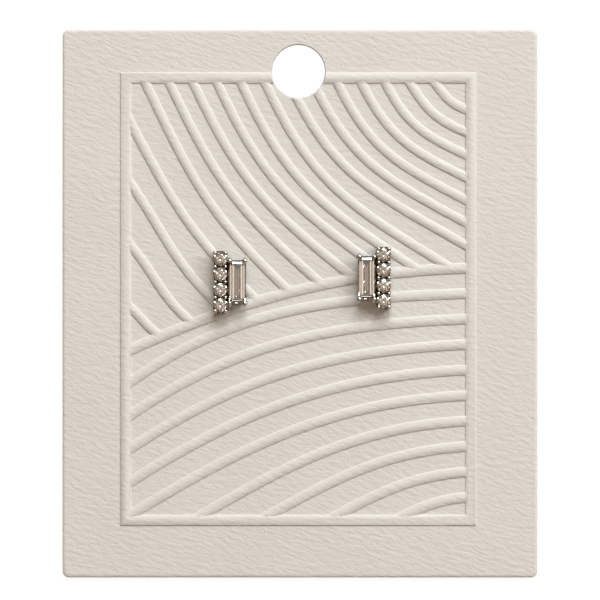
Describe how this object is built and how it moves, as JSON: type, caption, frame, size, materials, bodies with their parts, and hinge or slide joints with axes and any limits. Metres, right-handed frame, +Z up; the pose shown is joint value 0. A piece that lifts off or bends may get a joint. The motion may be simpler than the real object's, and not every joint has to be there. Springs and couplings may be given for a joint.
{
  "type": "pair of stud earrings on an embossed display card",
  "caption": "Stud earrings, each a bar of round stones beside a long step cut stone, worn on ear posts with friction nuts and shown on a card with raised curved ribs and a hang hole.",
  "frame": {"origin": "on the table under the middle of the lying card", "axes": "+X to the right of the card's face, +Y along the table towards the card's top edge, +Z up"},
  "size_m": [0.065, 0.0736, 0.0164],
  "materials": {
    "card_board": "matte felt-marked warm grey board, embossed",
    "polished_silver": "bright polished silver",
    "plain_silver": "plain polished silver",
    "clear_stone": "clear colourless cut stone"
  },
  "bodies": {
    "root": {"card": "card_board", "left_setting": "polished_silver", "right_setting": "polished_silver", "left_round_stone_1": "clear_stone", "left_round_stone_2": "clear_stone", "left_round_stone_3": "clear_stone", "left_round_stone_4": "clear_stone", "right_round_stone_1": "clear_stone", "right_round_stone_2": "clear_stone", "right_round_stone_3": "clear_stone", "right_round_stone_4": "clear_stone", "left_baguette_stone": "clear_stone", "right_baguette_stone": "clear_stone", "left_ear_nut": "plain_silver", "right_ear_nut": "plain_silver"}
  },
  "joints": []
}
